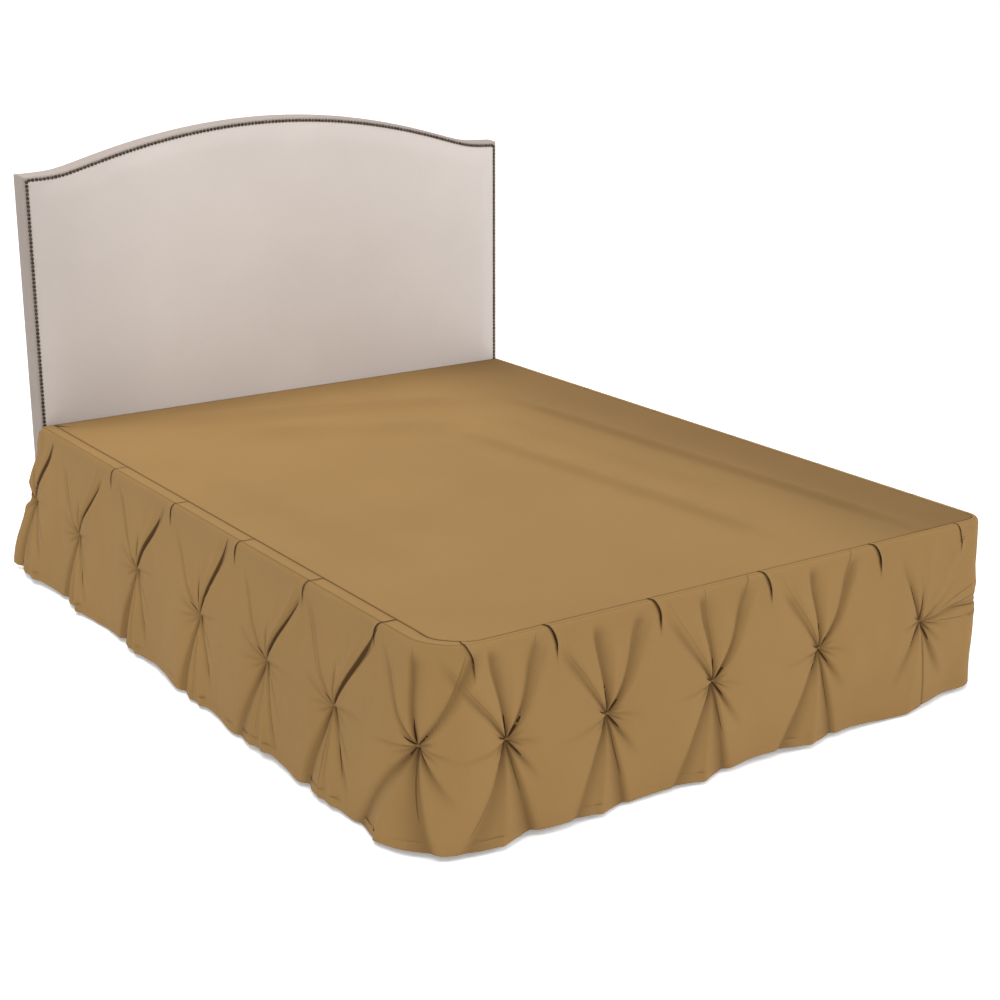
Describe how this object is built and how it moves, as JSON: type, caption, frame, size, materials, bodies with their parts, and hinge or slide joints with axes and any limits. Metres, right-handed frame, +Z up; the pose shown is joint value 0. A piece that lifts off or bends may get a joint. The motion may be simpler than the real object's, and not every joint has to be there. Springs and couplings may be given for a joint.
{
  "type": "bed skirt on a bed with a headboard",
  "caption": "Pinch-pleated bed skirt: a flat platform sheet with gathered drop panels, over a plain bed base with an upholstered camelback headboard.",
  "frame": {"origin": "middle of the whole bed's box seen from above, at the floor", "axes": "+Z up, +Y towards the head of the bed, +X to the right looking from the foot to the head"},
  "size_m": [1.7077, 2.2022, 1.2266],
  "materials": {
    "skirt_cloth": "smooth brushed microfibre, camel",
    "base_ticking": "plain woven ticking, off-white",
    "headboard_cloth": "fine linen weave, warm light grey",
    "frame_wood": "dark stained, satin",
    "bracket_metal": "dark bronze, satin"
  },
  "bodies": {
    "root": {"deck": "skirt_cloth", "drop_left": "skirt_cloth", "drop_front": "skirt_cloth", "drop_right": "skirt_cloth", "box_spring": "base_ticking", "headboard": "headboard_cloth", "rail_left": "frame_wood", "rail_right": "frame_wood", "rail_foot": "frame_wood", "rail_head": "frame_wood", "rail_centre": "frame_wood", "leg_foot_left": "frame_wood", "leg_foot_right": "frame_wood", "leg_head_left": "frame_wood", "leg_head_right": "frame_wood", "leg_centre": "frame_wood", "headboard_leg_left": "frame_wood", "headboard_leg_right": "frame_wood", "bracket_left": "bracket_metal", "bracket_right": "bracket_metal"}
  },
  "joints": []
}
